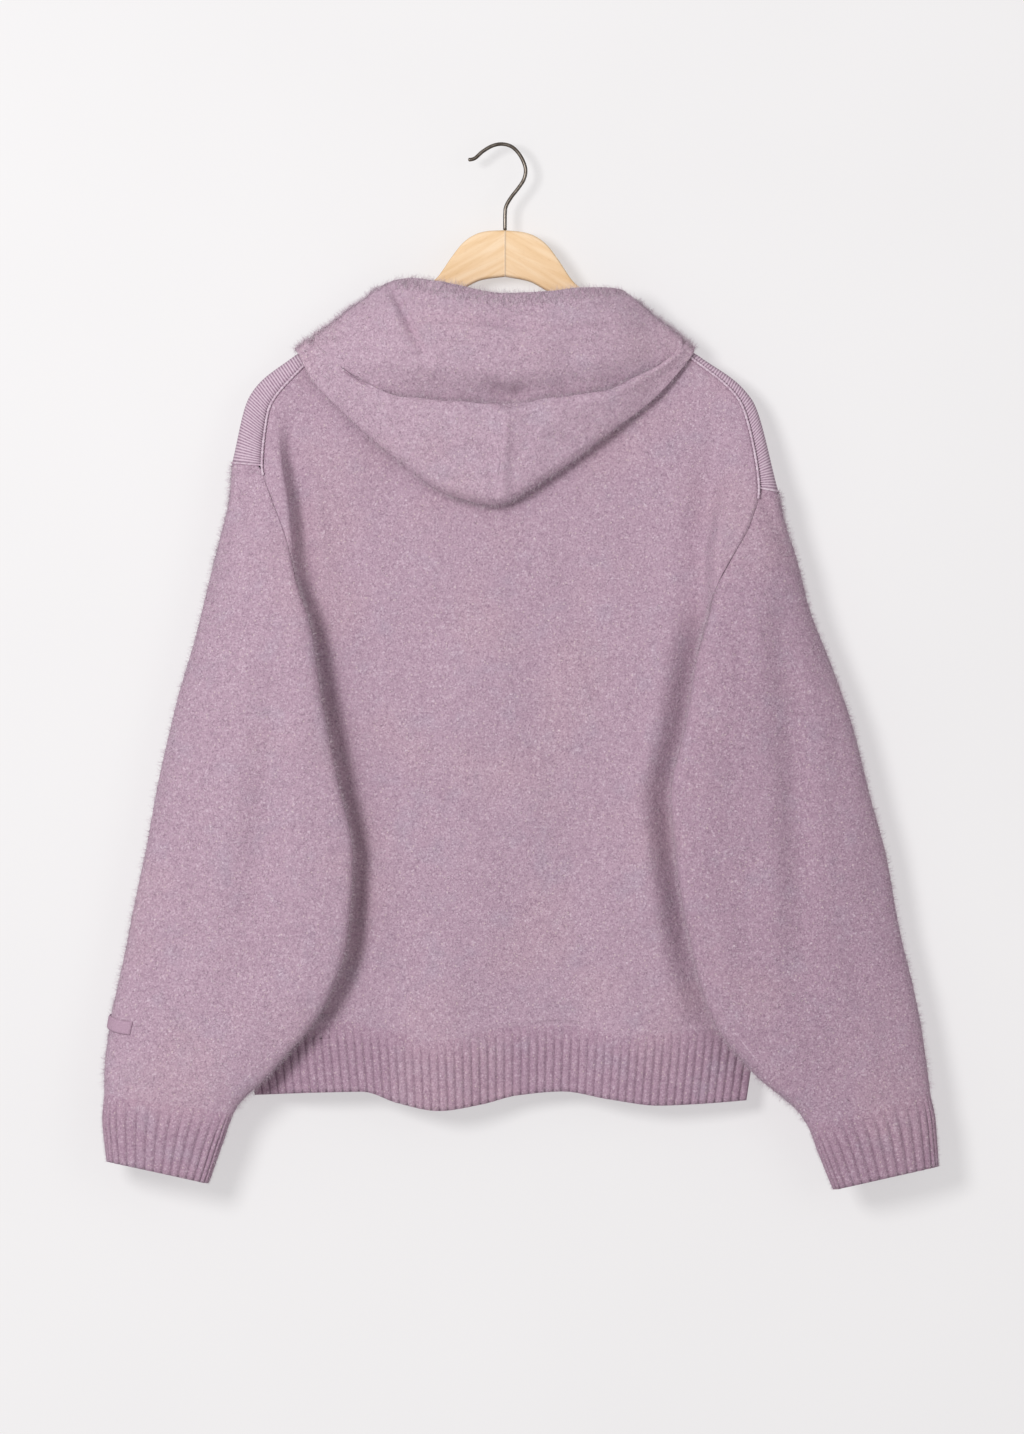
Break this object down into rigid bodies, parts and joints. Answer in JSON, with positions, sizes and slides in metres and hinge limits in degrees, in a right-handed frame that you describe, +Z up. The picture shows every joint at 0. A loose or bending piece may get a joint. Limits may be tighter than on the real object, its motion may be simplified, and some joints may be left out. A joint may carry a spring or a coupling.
{
  "type": "wool hoodie on a wooden hanger",
  "caption": "Wool pullover hoodie hanging from its wooden hanger, seen with its hood open down the back, with ribbed hem and cuffs and fine-knit shoulder saddles.",
  "frame": {"origin": "underside of the crown of the hanger's hook, where it bears on a pin or rail, in the hook's middle plane", "axes": "+Z up along the hook's stem, +X to the right of a viewer who faces the garment's back, -Y towards that viewer, +Y out through the garment's front"},
  "size_m": [0.6654, 0.0686, 0.8359],
  "materials": {
    "wool_fleece": "brushed melange wool in lilac, with a soft fibre halo",
    "fine_knit": "fine plain knit in lilac wool, rows across the shoulder",
    "rib_knit": "ribbed knit in lilac wool",
    "beech": "sanded pale beech, clear satin",
    "steel_wire": "dark bent wire, satin"
  },
  "bodies": {
    "root": {"body_back": "wool_fleece", "body_front": "wool_fleece", "cuff_left": "rib_knit", "cuff_right": "rib_knit", "hanger_arm_left": "beech", "hanger_arm_right": "beech", "hanger_hook": "steel_wire", "hem_rib_back": "rib_knit", "hem_rib_front": "rib_knit", "hood_left": "wool_fleece", "hood_right": "wool_fleece", "shoulder_strip_left": "fine_knit", "shoulder_strip_right": "fine_knit", "sleeve_label": "fine_knit", "sleeve_left": "wool_fleece", "sleeve_right": "wool_fleece"}
  },
  "joints": []
}
